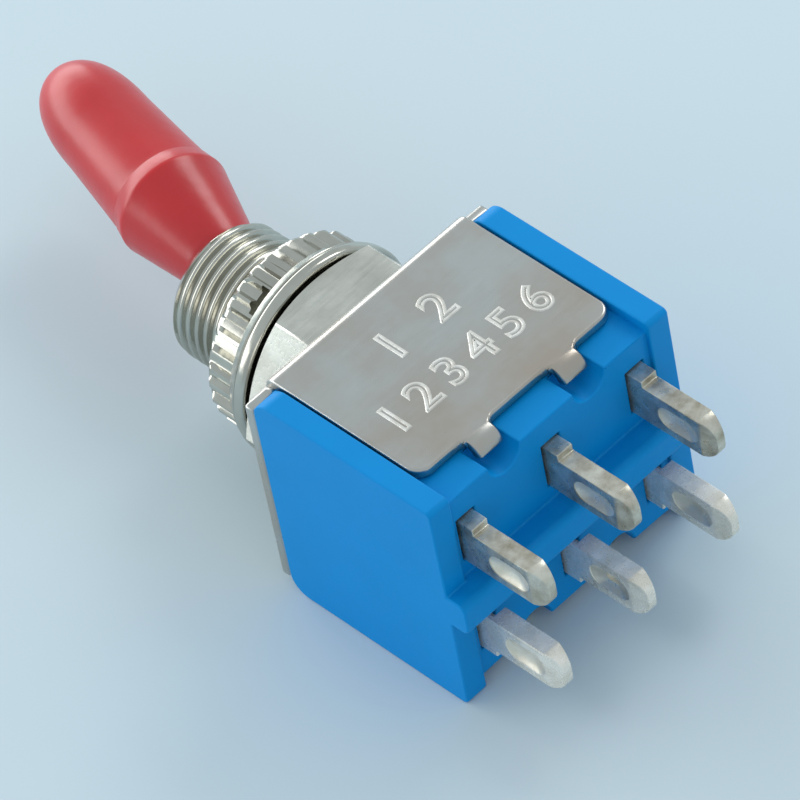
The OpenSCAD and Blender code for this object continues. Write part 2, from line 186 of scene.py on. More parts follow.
def roll_up(tree: NodeTree, sheet: Node, turn: Node, radius: Node, front: Node) -> Node:
    """Roll a flat sheet about the bushing axis.

    Args:
        tree: The geometry tree.
        sheet: The flat sheet.
        turn: Share of the way round the axis.
        radius: Distance from the axis.
        front: Distance in front of the frame.

    Returns:
        The rolled sheet.
    """
    angle = add_node(tree, MATH, (turn, math.tau), operation="MULTIPLY")
    cosine = add_node(tree, MATH, (angle,), operation="COSINE")
    sine = add_node(tree, MATH, (angle,), operation="SINE")
    x = add_node(tree, MATH, (radius, cosine), operation="MULTIPLY")
    z = add_node(tree, MATH, (radius, sine), operation="MULTIPLY")
    y = add_node(tree, MATH, (front, -1.0), operation="MULTIPLY")
    point = add_node(tree, "ShaderNodeCombineXYZ", (x, y, z))
    return add_node(tree, "GeometryNodeSetPosition", {"Geometry": sheet, "Position": point})


def grown(tree: NodeTree, sizes: dict[str, float]) -> Mesh:
    """Run a geometry tree with its sizes and take the result as a plain mesh.

    Args:
        tree: The geometry tree.
        sizes: Value of each named input.

    Returns:
        The evaluated mesh, in the tree's own units.
    """
    carrier = in_scene(tree.name, bpy.data.meshes.new(tree.name))
    modifier = carrier.modifiers.new(tree.name, "NODES")
    modifier.node_group = tree
    for item in tree.interface.items_tree:
        if item.item_type == "SOCKET" and item.in_out == "INPUT":
            modifier[item.identifier] = sizes[item.name]
    return evaluated(carrier)


def evaluated(obj: Object) -> Mesh:
    """Apply the modifiers of an object and keep only the mesh.

    Args:
        obj: The object, which is removed with its modifiers.

    Returns:
        A new plain mesh.
    """
    bpy.context.view_layer.update()
    graph = bpy.context.evaluated_depsgraph_get()
    mesh = bpy.data.meshes.new_from_object(obj.evaluated_get(graph), depsgraph=graph)
    obj.modifiers.clear()
    bpy.data.objects.remove(obj)
    return mesh


def joined(bm: BMesh, rings: list[list[BMVert]], closed: bool) -> None:
    """Join neighbouring rings of points with faces.

    Args:
        bm: The drawing that holds the points.
        rings: Rings with the same number of points.
        closed: Whether the last ring joins the first.
    """
    ends = rings[1:] + rings[:1] if closed else rings[1:]
    for one, two in zip(rings, ends):
        for i in range(len(one)):
            j = (i + 1) % len(one)
            bm.faces.new((one[i], one[j], two[j], two[i]))


def revolved(outline: list[Pair], steps: int, closed: bool = False) -> BMesh:
    """Turn an outline about the bushing axis.

    Args:
        outline: Points of radius and distance in front of the frame, in millimetres.
        steps: Number of steps round the axis.
        closed: Whether the last point joins the first.

    Returns:
        The surface, in millimetres.
    """
    bm = bmesh.new()
    turns = [math.tau * i / steps for i in range(steps)]
    rings = [[bm.verts.new((radius * math.cos(t), -front, radius * math.sin(t))) for t in turns]
             for radius, front in outline]
    joined(bm, rings, closed)
    return bm


def arc(centre: Pair, radius: float, start: float, end: float, steps: int) -> list[Pair]:
    """Points of an arc in an outline.

    Args:
        centre: Radius and distance of the arc's centre.
        radius: Radius of the arc.
        start: First angle in degrees, from the outward direction towards the front.
        end: Last angle in degrees.
        steps: Number of steps.

    Returns:
        The points, both ends included.
    """
    turns = [math.radians(start + (end - start) * i / steps) for i in range(steps + 1)]
    return [(centre[0] + radius * math.cos(t), centre[1] + radius * math.sin(t)) for t in turns]


def drawing_of(node: str) -> BMesh:
    """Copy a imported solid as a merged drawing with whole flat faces.

    Args:
        node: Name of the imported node.

    Returns:
        The copy, in millimetres.
    """
    bm = bmesh.new()
    bm.from_mesh(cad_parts[node].data)
    bmesh.ops.scale(bm, vec=(1 / MM,) * 3, verts=bm.verts)
    bmesh.ops.remove_doubles(bm, verts=bm.verts, dist=MERGE_MM)
    bmesh.ops.dissolve_limit(bm, angle_limit=math.radians(FLAT_ANGLE), verts=bm.verts, edges=bm.edges)
    return bm


def in_scene(name: str, data: ID) -> Object:
    """Link a mesh, a text, a light or a camera to the scene as an object at the origin.

    Args:
        name: Name of the object.
        data: What it shows.

    Returns:
        The object.
    """
    obj = bpy.data.objects.new(name, data)
    bpy.context.scene.collection.objects.link(obj)
    return obj


def mesh_of(name: str, bm: BMesh) -> Mesh:
    """Merge a drawing's doubles, turn its faces outwards and make it a mesh.

    Args:
        name: Name of the mesh.
        bm: The drawing, which is freed.

    Returns:
        The mesh.
    """
    bmesh.ops.remove_doubles(bm, verts=bm.verts, dist=MERGE_MM)
    bmesh.ops.recalc_face_normals(bm, faces=bm.faces)
    mesh = bpy.data.meshes.new(name)
    bm.to_mesh(mesh)
    bm.free()
    return mesh


def piece(name: str, mesh: Mesh, material: Material, sharp: float = 32.0) -> Object:
    """Make a finished piece from a mesh drawn in millimetres.

    Args:
        name: Name of the piece.
        mesh: The mesh, in millimetres.
        material: Finish of the whole piece.
        sharp: Angle in degrees above which an edge stays sharp.

    Returns:
        The piece, in metres, at the origin, with its large faces shaded flat.
    """
    mesh.transform(Matrix.Scale(MM, 4))
    mesh.materials.clear()
    mesh.materials.append(material)
    mesh.shade_smooth()
    mesh.set_sharp_from_angle(angle=math.radians(sharp))
    carrier = in_scene(name, mesh)
    even = carrier.modifiers.new("even", "WEIGHTED_NORMAL")
    even.keep_sharp = True
    return in_scene(name, evaluated(carrier))


def softened(name: str, bm: BMesh, width: float, spared: tuple[Vector, ...] = (),
             shortest: float = 0.0) -> Mesh:
    """Round the sharp edges of a drawing.

    Args:
        name: Name of the mesh.
        bm: The drawing, in millimetres.
        width: Width of the rounded edges, in millimetres.
        spared: Places, in millimetres, near which the edges stay as they are.
        shortest: Length in millimetres below which an edge stays as it is.

    Returns:
        The rounded mesh, in millimetres.
    """
    bmesh.ops.recalc_face_normals(bm, faces=bm.faces)
    weight = bm.edges.layers.float.new("bevel_weight_edge")
    for edge in bm.edges:
        near = any((vert.co - place).length < SPARED_WIDTHS * width
                   for vert in edge.verts for place in spared)
        turned = edge.calc_face_angle(0.0) > math.radians(EDGE_ANGLE)
        edge[weight] = float(turned and not near and edge.calc_length() >= shortest)
    carrier = in_scene(name, mesh_of(name, bm))
    bevel = carrier.modifiers.new("edges", "BEVEL")
    bevel.width = width
    bevel.segments = 3
    bevel.limit_method = "WEIGHT"
    bevel.use_clamp_overlap = False
    return evaluated(carrier)


def cut_by(mesh: Mesh, cutter: Object) -> Mesh:
    """Cut a closed object's space out of a mesh.

    Args:
        mesh: The mesh, in millimetres.
        cutter: The closed object, in millimetres, which is removed afterwards.

    Returns:
        The cut mesh.
    """
    carrier = in_scene("cut", mesh)
    cut = carrier.modifiers.new("cut", "BOOLEAN")
    cut.operation = "DIFFERENCE"
    cut.solver = "MANIFOLD"
    cut.object = cutter
    result = evaluated(carrier)
    bpy.data.objects.remove(cutter)
    return result


def seat(obj: Object, body: Body, slot: Slot, *nodes: str) -> Object:
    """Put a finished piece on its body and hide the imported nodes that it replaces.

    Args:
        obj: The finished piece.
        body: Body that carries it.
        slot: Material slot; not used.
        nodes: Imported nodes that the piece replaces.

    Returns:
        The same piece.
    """
    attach(obj, body.value)
    if nodes:
        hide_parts(*nodes)
    LOG.info("%s: %d faces on %s", obj.name, len(obj.data.polygons), body.value)
    return obj


def dress(node: str, material: Material) -> None:
    """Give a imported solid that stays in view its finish.

    Args:
        node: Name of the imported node.
        material: Its finish.
    """
    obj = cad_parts[node]
    obj.data.materials.clear()
    obj.data.materials.append(material)
    LOG.info("%s: packed solid in %s", node, material.name)


# ---------------- finishes


def new_finish(name: str, even: dict[str, object]) -> tuple[Material, NodeSocket]:
    """Start a material.

    Args:
        name: Name of the finish.
        even: Values of the shader's sockets that are the same all over.

    Returns:
        The material, and the place on the object that its patterns read.
    """
    mat = bpy.data.materials.new(name)
    mat.use_nodes = True
    for socket, value in even.items():
        mat.node_tree.nodes["Principled BSDF"].inputs[socket].default_value = value
    return mat, add_node(mat.node_tree, "ShaderNodeTexCoord").outputs["Object"]


def end_finish(mat: Material, patches: Node, colours: tuple[str, str], grain: Node, rough: Pair,
               relief_mm: float, grain_range: Pair = (0.0, 1.0)) -> Material:
    """Give a material its colour, its roughness and its relief.

    Args:
        mat: The material.
        patches: Node that leads from the first colour to the second.
        colours: The two colours.
        grain: Node of the fine pattern.
        rough: Least and greatest roughness.
        relief_mm: Height of the relief.
        grain_range: Values of the grain that stand for the least and the greatest roughness.

    Returns:
        The same material.
    """
    tree = mat.node_tree
    shader = tree.nodes["Principled BSDF"]
    tone = add_node(tree, "ShaderNodeMix", {
        COLOUR_SHARE: patches, COLOUR_ONE: linear(colours[0]), COLOUR_TWO: linear(colours[1])},
        data_type="RGBA")
    roughness = add_node(tree, "ShaderNodeMapRange", {
        "Value": grain, "From Min": grain_range[0], "From Max": grain_range[1],
        "To Min": rough[0], "To Max": rough[1]})
    relief = add_node(tree, "ShaderNodeBump", {"Strength": 1.0, "Distance": relief_mm * MM, "Height": grain})
    tree.links.new(tone.outputs[COLOUR_OUT], shader.inputs["Base Color"])
    tree.links.new(roughness.outputs[0], shader.inputs["Roughness"])
    tree.links.new(relief.outputs[0], shader.inputs["Normal"])
    return mat


@dataclass(frozen=True)
class Metal:
    """A plated, dipped or rolled metal."""

    name: str
    bright: str
    dull: str
    rough: Pair
    patch_mm: float
    grain_mm: float
    relief_mm: float
    stretch: Triple = (1.0, 1.0, 1.0)
    metallic: float = 1.0
    patch_range: Pair = (0.35, 0.7)
    patch_breakup: float = 0.6
    patch_detail: float = 4.0
    grain_range: Pair = (0.3, 0.7)
    grain_detail: float = 3.0

    def material(self) -> Material:
        """Build the metal's material: patches of tarnish over a fine relief, where on the rolled strip the
        brownish patches are painted reflection instead.

        Returns:
            The material.
        """
        mat, place = new_finish(self.name, {"Metallic": self.metallic})
        tree = mat.node_tree
        stretched = add_node(tree, "ShaderNodeMapping", {"Vector": place, "Scale": self.stretch})
        patches = add_node(tree, "ShaderNodeTexNoise", {
            "Vector": place, "Scale": 1 / (self.patch_mm * MM), "Detail": self.patch_detail,
            "Roughness": self.patch_breakup})
        grain = add_node(tree, "ShaderNodeTexNoise", {
            "Vector": stretched, "Scale": 1 / (self.grain_mm * MM), "Detail": self.grain_detail})
        share = add_node(tree, "ShaderNodeMapRange", {
            "Value": patches, "From Min": self.patch_range[0], "From Max": self.patch_range[1]})
        return end_finish(mat, share, (self.bright, self.dull), grain, self.rough, self.relief_mm,
                          self.grain_range)


@dataclass(frozen=True)
class Moulding:
    """An injection moulded plastic."""

    name: str
    colour: str
    worn: str
    roughness: float
    ior: float
    grain_mm: float
    relief_mm: float
    gloss: float
    flow_mm: float = 2.5
    spread: float = 0.06
    detail: float = 3.0

    def material(self) -> Material:
        """Build the plastic's material: an even colour with a faint flow pattern and a fine grain.

        Returns:
            The material.
        """
        mat, place = new_finish(self.name, {"IOR": self.ior, "Specular IOR Level": self.gloss})
        tree = mat.node_tree
        flow = add_node(tree, "ShaderNodeTexNoise", {
            "Vector": place, "Scale": 1 / (self.flow_mm * MM), "Detail": self.detail})
        grain = add_node(tree, "ShaderNodeTexNoise", {
            "Vector": place, "Scale": 1 / (self.grain_mm * MM), "Detail": self.detail})
        rough = (self.roughness - self.spread, self.roughness + self.spread)
        return end_finish(mat, flow, (self.colour, self.worn), grain, rough, self.relief_mm)


@dataclass(frozen=True)
class Vinyl:
    """A soft, translucent dipped vinyl."""

    name: str
    colour: str
    deep: str
    rough: Pair
    depth_mm: float
    scatter: float = 0.7
    reach: Triple = (1.0, 0.22, 0.2)
    ior: float = 1.53
    coat: float = 0.2
    coat_roughness: float = 0.22
    cloud_mm: float = 3.0
    cloud_detail: float = 2.0
    skin_mm: float = 0.5
    skin_detail: float = 3.0
    relief_mm: float = 0.012

    def material(self) -> Material:
        """Build the vinyl's material: light wanders below a smooth, slightly greasy skin.

        Returns:
            The material.
        """
        mat, place = new_finish(self.name, {
            "IOR": self.ior, "Coat Weight": self.coat, "Coat Roughness": self.coat_roughness,
            "Subsurface Weight": self.scatter, "Subsurface Radius": self.reach,
            "Subsurface Scale": self.depth_mm * MM})
        tree = mat.node_tree
        cloud = add_node(tree, "ShaderNodeTexNoise", {
            "Vector": place, "Scale": 1 / (self.cloud_mm * MM), "Detail": self.cloud_detail})
        skin = add_node(tree, "ShaderNodeTexNoise", {
            "Vector": place, "Scale": 1 / (self.skin_mm * MM), "Detail": self.skin_detail})
        return end_finish(mat, cloud, (self.colour, self.deep), skin, self.rough, self.relief_mm)


# Nickel over turned brass: bright, faintly warm, with soft dents from tumbling in the bath
NICKEL = Metal("bright_nickel_on_brass", "#C6C5BB", "#B3B0A6", rough=(0.13, 0.24),
               patch_mm=2.6, grain_mm=0.35, relief_mm=0.002)
# Nickel over a milled brass flat: streaks of the cutter along the flat, softened by the plating
MILLED = Metal("milled_nickel_flat", "#DAD9D0", "#BDBAB0", rough=(0.24, 0.36),
               patch_mm=2.2, grain_mm=0.16, relief_mm=0.004, stretch=(0.1, 1.0, 1.0))
# Nickel over rolled steel strip: a grey, even sheen with fine lines along the rolling direction, and soft
# brownish patches that are a painted reflection of a warm room
STRIP_PAINTED_REFLECTION = Metal("rolled_nickel_steel_strip_painted_reflection", "#C1C3C0", "#B8ADA1", rough=(0.27, 0.31),
              patch_mm=5.0, grain_mm=0.2, relief_mm=0.0001, stretch=(0.12, 1.0, 1.0))
# The burr that a stamp has pushed up in the strip: paler and rougher than the strip
BURR = Metal("stamped_burr", "#E9E8E2", "#CFCBC2", rough=(0.42, 0.55),
             patch_mm=0.6, grain_mm=0.15, relief_mm=0.004, metallic=0.8)
# Brass dipped in hot tin, for the upper row of blades: dull and slightly yellow, with brown-grey patches,
# darker than the lower row's tin
TIN = Metal("hot_tinned_brass", "#DAD8CB", "#A09783", rough=(0.22, 0.4),
            patch_mm=0.9, grain_mm=0.35, relief_mm=0.009, metallic=0.78)
# The same tin for the lower row of blades: paler, more even and less metallic, with a soft wet look
LOWER_ROW_TIN = Metal("lower_row_hot_tin", "#F4F2E8", "#D8D4C4", rough=(0.2, 0.34),
                  patch_mm=0.9, grain_mm=0.35, relief_mm=0.007, metallic=0.42)
# Tin and lead solder that has set in the eyelet: smooth, creamy and bright
SOLDER = Metal("set_solder", "#F2EDDE", "#D9D1BC", rough=(0.26, 0.44),
               patch_mm=0.8, grain_mm=0.4, relief_mm=0.012, metallic=0.6)
# Fine silver of the contacts, slightly tarnished
SILVER = Metal("fine_silver_contact", "#D9D6CE", "#B5AD9C", rough=(0.2, 0.35),
               patch_mm=1.0, grain_mm=0.2, relief_mm=0.002)
# Drawn spring wire, dark and smooth
WIRE = Metal("drawn_spring_wire", "#9A9894", "#7C7A76", rough=(0.2, 0.3),
             patch_mm=1.0, grain_mm=0.1, relief_mm=0.001)
# Glass filled polyester, moulded: a saturated blue with a soft satin skin
POLYESTER = Moulding("moulded_blue_polyester", "#0090DA", "#0089CF", roughness=0.46, ior=1.55,
                     grain_mm=0.09, relief_mm=0.002, gloss=0.12)
# Acetal of the carriage, natural white and slippery
ACETAL = Moulding("natural_white_acetal", "#E8E6DC", "#DEDCD0", roughness=0.35, ior=1.48,
                  grain_mm=0.12, relief_mm=0.001, gloss=0.5)
# Vinyl that was dipped on a pin: clear red at thin edges and pink where it is lit
VINYL = Vinyl("dipped_red_vinyl", "#C9191F", "#B41319", rough=(0.27, 0.4), depth_mm=0.9)


# ---------------- sub-assemblies


@dataclass
class Bushing:
    """Turned bushing with its screw thread, in millimetres."""

    thread_r: float = 3.0
    pitch: float = 0.5
    depth: float = 0.27
    flank: Pair = (0.06, 0.42)  # start and end of a thread's flank, in pitches from its crest
    relief: float = 0.42
    start: float = -0.45
    front: float = 9.05
    collar_r: float = 3.9
    collar_front: float = -0.5
    collar_chamfer: float = 0.1
    collar_edge: float = 0.05
    back: float = -1.3
    pivot: float = PIVOT
    ball_r: float = 1.95
    seat_turn: float = 38.0
    seat_depth: float = 1.0
    mouth_round: float = 0.1
    lean: float = LEAN
    neck_r: float = 1.1
    tail_r: float = 0.5
    cone_gap: float = 0.12
    steps: int = 128
    rows_a_turn: int = 14
    sharp: float = 50.0

    def thread(self, material: Material) -> Mesh:
        """Grow the helical thread: every row of the sheet follows the helix.

        Args:
            material: Finish of the thread.

        Returns:
            The threaded skin, open at both ends.
        """
        tree, sizes = new_tree("screw_thread", {
            "Crest Radius": float, "Pitch": float, "Depth": float, "Relief": float, "Start": float,
            "Length": float, "Rows": int, "Rows a Turn": int, "Steps": int})
        size = sizes.outputs
        sheet, row, turn = flat_sheet(tree, size["Rows"], size["Steps"])
        count = add_node(tree, MATH, (size["Rows"], size["Rows a Turn"]), operation="DIVIDE")
        turns = add_node(tree, MATH, (row, count), operation="MULTIPLY")
        lead = add_node(tree, MATH, (turns, turn), operation="ADD")
        behind = add_node(tree, MATH, (lead, 1.0), operation="SUBTRACT")
        along = add_node(tree, MATH, (behind, size["Pitch"]), operation="MULTIPLY")
        held = add_node(tree, "ShaderNodeClamp", {"Value": along, "Min": 0.0, "Max": size["Length"]})
        in_turns = add_node(tree, MATH, (held, size["Pitch"]), operation="DIVIDE")
        helix = add_node(tree, MATH, (in_turns, turn), operation="SUBTRACT")
        phase = add_node(tree, MATH, (helix,), operation="FRACT")
        wave = add_node(tree, MATH, (phase, 0.5), operation="SUBTRACT")
        flank = add_node(tree, MATH, (wave,), operation="ABSOLUTE")
        groove = add_node(tree, "ShaderNodeMapRange", {
            "Value": flank, "From Min": self.flank[0], "From Max": self.flank[1]},
            interpolation_type="SMOOTHSTEP")
        cut = add_node(tree, MATH, (groove, size["Depth"]), operation="MULTIPLY")
        radius = add_node(tree, MATH, (size["Crest Radius"], cut), operation="SUBTRACT")
        end_r = add_node(tree, MATH, (size["Crest Radius"], size["Relief"]), operation="SUBTRACT")
        left = add_node(tree, MATH, (size["Length"], held), operation="SUBTRACT")
        near_end = add_node(tree, MATH, (left, held), operation="MINIMUM")
        bevelled = add_node(tree, MATH, (end_r, near_end), operation="ADD")
        reach = add_node(tree, MATH, (radius, bevelled), operation="MINIMUM")
        front = add_node(tree, MATH, (held, size["Start"]), operation="ADD")
        end_tree(tree, roll_up(tree, sheet, turn, reach, front), material)
        length = self.front - self.start
        return grown(tree, {
            "Crest Radius": self.thread_r, "Pitch": self.pitch, "Depth": self.depth, "Relief": self.relief,
            "Start": self.start, "Length": length, "Steps": self.steps, "Rows a Turn": self.rows_a_turn,
            "Rows": self.rows_a_turn * (math.ceil(length / self.pitch) + 1)})

    def outline(self) -> list[Pair]:
        """Outline of everything but the thread: front face, mouth, ball seat, tail cone and collar.

        Returns:
            Points of radius and distance in front of the frame.
        """
        tip, edge = math.radians(self.lean), self.mouth_round
        mouth_r = (self.front - self.pivot) * math.tan(tip) + self.neck_r / math.cos(tip) + self.cone_gap
        tail_r = (self.pivot - self.back) * math.tan(tip) + self.tail_r / math.cos(tip) + self.cone_gap
        end_r = self.thread_r - self.relief
        return [
            (end_r, self.front), *arc((mouth_r + edge, self.front - edge), edge, 90.0, 180.0, 4),
            *arc((0.0, self.pivot), self.ball_r, self.seat_turn, 0.0, 8),
            (self.ball_r, self.pivot - self.seat_depth), (tail_r, self.back),
            (self.collar_r - self.collar_chamfer, self.back),
            (self.collar_r, self.back + self.collar_chamfer),
            (self.collar_r, self.collar_front - self.collar_edge),
            (self.collar_r - self.collar_edge, self.collar_front), (end_r, self.start)]

    def build(self, material: Material) -> None:
        """Join the thread to the turned rest and seat the bushing.

        Args:
            material: Finish of the bushing.
        """
        bm = revolved(self.outline(), self.steps)
        bm.from_mesh(self.thread(material))
        bushing = piece("bushing_thread", mesh_of("bushing", bm), material, self.sharp)
        seat(bushing, Body.HOUSING, Slot.NICKEL, "bushing")


@dataclass
class KnurledNut:
    """Knurled front nut with a smooth collar, in millimetres."""

    start: float = 3.55
    height: float = 2.0
    collar_h: float = 0.45
    collar_r: float = 4.6
    collar_top_r: float = 4.41
    collar_lean: float = 15.0
    root_r: float = 4.05
    rib_h: float = 0.3
    rib_share: Pair = (0.72, 1.0)  # lowest and highest rib, in rib heights
    crest: Pair = (0.06, 0.17)  # narrowest and widest half crest, in ribs
    foot: float = 0.17
    ribs: int = 32
    hole_r: float = NUT_HOLE_R
    bevel: float = 0.2
    edge: float = 0.08
    front_drop: float = 0.05
    steps_a_rib: int = 12
    rows: int = 14
    seed: int = 7
    nudge: float = 0.0001  # keeps a rib's first column from falling to the rib before it
    notch_turn: float = 65.0
    notch_w: float = 1.2
    notch_h: float = 0.42
    notch_rise: float = 0.23
    notch_depth: float = 2.2
    sharp: float = 40.0

    def knurl(self, material: Material) -> Mesh:
        """Grow the ribs: a sheet round the nut that rises at every rib, each a little different.

        Args:
            material: Finish of the ribs.

        Returns:
            The ribbed skin, open at both ends.
        """
        tree, sizes = new_tree("nut_knurl", {
            "Ribs": int, "Steps a Rib": int, "Rows": int, "Seed": int, "Root Radius": float,
            "Rib Height": float, "Collar Radius": float, "Front": float, "Length": float})
        size = sizes.outputs
        around = add_node(tree, MATH, (size["Ribs"], size["Steps a Rib"]), operation="MULTIPLY")
        sheet, row, turn = flat_sheet(tree, size["Rows"], around)
        ribs = add_node(tree, MATH, (turn, size["Ribs"]), operation="MULTIPLY")
        shifted = add_node(tree, MATH, (ribs, self.nudge), operation="ADD")
        phase = add_node(tree, MATH, (shifted,), operation="FRACT")
        number = add_node(tree, MATH, (shifted,), operation="FLOOR")
        wrapped = add_node(tree, MATH, (number, size["Ribs"]), operation="MODULO")
        crest = add_node(tree, "FunctionNodeRandomValue", {
            RANDOM_LOW: self.crest[0], RANDOM_HIGH: self.crest[1], "ID": wrapped, "Seed": size["Seed"]})
        tall = add_node(tree, MATH, (size["Seed"], 1.0), operation="ADD")
        scale = add_node(tree, "FunctionNodeRandomValue", {
            RANDOM_LOW: self.rib_share[0], RANDOM_HIGH: self.rib_share[1], "ID": wrapped, "Seed": tall})
        wave = add_node(tree, MATH, (phase, 0.5), operation="SUBTRACT")
        offset = add_node(tree, MATH, (wave,), operation="ABSOLUTE")
        crest_w, share_h = crest.outputs[RANDOM_OUT], scale.outputs[RANDOM_OUT]
        foot = add_node(tree, MATH, (crest_w, self.foot), operation="ADD")
        rise = add_node(tree, "ShaderNodeMapRange", {
            "Value": offset, "From Min": crest_w, "From Max": foot, "To Min": 1.0, "To Max": 0.0},
            interpolation_type="SMOOTHSTEP")
        tallness = add_node(tree, MATH, (size["Rib Height"], share_h), operation="MULTIPLY")
        raised = add_node(tree, MATH, (rise, tallness), operation="MULTIPLY")
        ribbed = add_node(tree, MATH, (size["Root Radius"], raised), operation="ADD")
        # The first row lies on the collar, and the last rows fall to a plain front ring
        step = add_node(tree, MATH, (row, size["Rows"]), operation="MULTIPLY")
        inner = add_node(tree, MATH, (step, 1.0), operation="SUBTRACT")
        span = add_node(tree, MATH, (size["Rows"], 1.0), operation="SUBTRACT")
        share = add_node(tree, MATH, (inner, span), operation="DIVIDE")
        held = add_node(tree, "ShaderNodeClamp", {"Value": share, "Min": 0.0, "Max": 1.0})
        along = add_node(tree, MATH, (held, size["Length"]), operation="MULTIPLY")
        left = add_node(tree, MATH, (size["Length"], along), operation="SUBTRACT")
        end_r = add_node(tree, MATH, (size["Root Radius"], self.front_drop), operation="SUBTRACT")
        bevelled = add_node(tree, MATH, (end_r, left), operation="ADD")
        reach = add_node(tree, MATH, (ribbed, bevelled), operation="MINIMUM")
        first = add_node(tree, MATH, (step, 0.5), operation="LESS_THAN")
        radius = add_node(tree, "ShaderNodeMix", {
            NUMBER_SHARE: first, NUMBER_ONE: reach, NUMBER_TWO: size["Collar Radius"]})
        front = add_node(tree, MATH, (along, size["Front"]), operation="ADD")
        end_tree(tree, roll_up(tree, sheet, turn, radius, front), material)
        return grown(tree, {
            "Ribs": self.ribs, "Steps a Rib": self.steps_a_rib, "Rows": self.rows, "Seed": self.seed,
            "Root Radius": self.root_r, "Rib Height": self.rib_h,
            "Collar Radius": self.collar_top_r - self.edge, "Front": self.start + self.collar_h,
            "Length": self.height - self.collar_h})

    def outline(self) -> list[Pair]:
        """Outline of the front face, the hole, the back face and the collar.

        Returns:
            Points of radius and distance in front of the frame.
        """
        front, bevel, edge = self.start + self.height, self.bevel, self.edge
        return [
            (self.root_r - self.front_drop, front), (self.hole_r + bevel, front),
            (self.hole_r, front - bevel), (self.hole_r, self.start + bevel),
            (self.hole_r + bevel, self.start),
            *arc((self.collar_r - edge, self.start + edge), edge, -90.0, 0.0, 4),
            *arc((self.collar_top_r - edge, self.start + self.collar_h - edge), edge,
                 self.collar_lean, 90.0, 4)]

    def notch(self) -> Object:
        """Block that cuts the notch through the ribs' feet, just in front of the collar.

        Returns:
            The cutter, in millimetres.
        """
        bm = bmesh.new()
        bmesh.ops.create_cube(bm, size=1.0)
        bmesh.ops.scale(bm, vec=(self.notch_depth, self.notch_h, self.notch_w), verts=bm.verts)
        place = (self.collar_r, -self.start - self.collar_h - self.notch_rise, 0.0)
        bmesh.ops.translate(bm, vec=place, verts=bm.verts)
        bmesh.ops.rotate(bm, matrix=Matrix.Rotation(math.radians(-self.notch_turn), 3, "Y"), verts=bm.verts)
        return in_scene("notch", mesh_of("notch", bm))

    def build(self, material: Material) -> None:
        """Join the ribs to the turned rest, cut the notch and seat the nut.

        Args:
            material: Finish of the nut.
        """
        bm = revolved(self.outline(), self.ribs * self.steps_a_rib)
        bm.from_mesh(self.knurl(material))
        mesh = cut_by(mesh_of("knurled_nut", bm), self.notch())
        nut = piece("nut_knurling", mesh, material, self.sharp)
        seat(nut, Body.HOUSING, Slot.NICKEL, "knurled_nut")


@dataclass
class PlainNuts:
    """Hexagon nut and lock ring, with rounded edges, in millimetres."""

    hex_edge: float = 0.06
    shortest: float = 1.0
    ring_start: float = 2.95
    ring_t: float = 0.6
    ring_r: float = 4.7
    ring_edge: float = 0.2
    hole_r: float = NUT_HOLE_R
    hole_edge: float = 0.05
    steps: int = 128

    def ring(self) -> Mesh:
        """Turn the lock ring with its two rounded rims.

        Returns:
            The ring, in millimetres.
        """
        back, front = self.ring_start, self.ring_start + self.ring_t
        edge, round_r = self.hole_edge, self.ring_edge
        rim = self.ring_r - round_r
        outline = [(self.hole_r, back + edge), (self.hole_r + edge, back)]
        outline += arc((rim, back + round_r), round_r, -90.0, 0.0, 8)
        outline += arc((rim, front - round_r), round_r, 0.0, 90.0, 8)
        outline += [(self.hole_r + edge, front), (self.hole_r, front - edge)]
        return mesh_of("lock_ring", revolved(outline, self.steps, closed=True))

    def build(self, flats: Material, turned: Material) -> None:
        """Soften the hexagon nut, turn the ring and seat both.

        Args:
            flats: Finish of the hexagon nut.
            turned: Finish of the ring.
        """
        nut = softened("hex_nut", drawing_of("hex_nut"), self.hex_edge, shortest=self.shortest)
        seat(piece("hexagon_nut", nut, flats), Body.HOUSING, Slot.NICKEL, "hex_nut")
        seat(piece("smooth_lock_ring", self.ring(), turned), Body.HOUSING, Slot.NICKEL, "lock_ring")


@dataclass
class FoldedFrame:
    """Folded sheet frame with its stamped figures, in millimetres."""

    edge: float = 0.13
    upper_line: str = "12"
    lower_line: str = "123456"
    upper_y: float = 3.0
    lower_y: float = 5.75
    upper_pitch: float = 2.57
    lower_pitch: float = 1.56
    figure_size: float = 2.2
    burr: float = 0.075
    flatness: float = 0.55

    def figure(self, sign: str, place: Triple) -> Mesh:
        """Draw one stamped figure as the raised burr along its outline.

        Args:
            sign: The figure.
            place: Its middle, on the plate's face.

        Returns:
            The flattened burr, in millimetres.
        """
        text = bpy.data.curves.new("figure", "FONT")
        text.body = sign
        text.size = self.figure_size
        text.align_x = "CENTER"
        text.align_y = "CENTER"
        text.fill_mode = "NONE"
        text.resolution_u = 6
        text.bevel_depth = self.burr
        text.bevel_resolution = 1
        mesh = evaluated(in_scene("figure", text))
        flat = Matrix.Scale(self.flatness, 4, Vector((0, 0, 1)))
        mesh.transform(Matrix.Translation(place) @ Matrix.Rotation(math.pi, 4, "Z") @ flat)
        return mesh

    def stamp(self) -> Mesh:
        """Draw the stamped figures of the upper side plate.

        Returns:
            The burrs of all figures, in millimetres.
        """
        bm = bmesh.new()
        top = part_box("frame")[1].z / MM
        lines = ((self.upper_line, self.upper_y, self.upper_pitch),
                 (self.lower_line, self.lower_y, self.lower_pitch))
        for signs, y, step in lines:
            for column, sign in enumerate(signs):
                x = (len(signs) - 1) / 2 * step - column * step
                bm.from_mesh(self.figure(sign, (x, y, top)))
        return mesh_of("figures", bm)

    def build(self, material: Material, burr: Material) -> None:
        """Soften the frame's edges, stamp it and seat it.

        Args:
            material: Finish of the frame.
            burr: Finish of the stamped figures.
        """
        mesh = softened("frame", drawing_of("frame"), self.edge)
        seat(piece("folded_frame", mesh, material), Body.HOUSING, Slot.STEEL, "frame")
        seat(piece("stamped_figures", self.stamp(), burr), Body.HOUSING, Slot.STEEL)


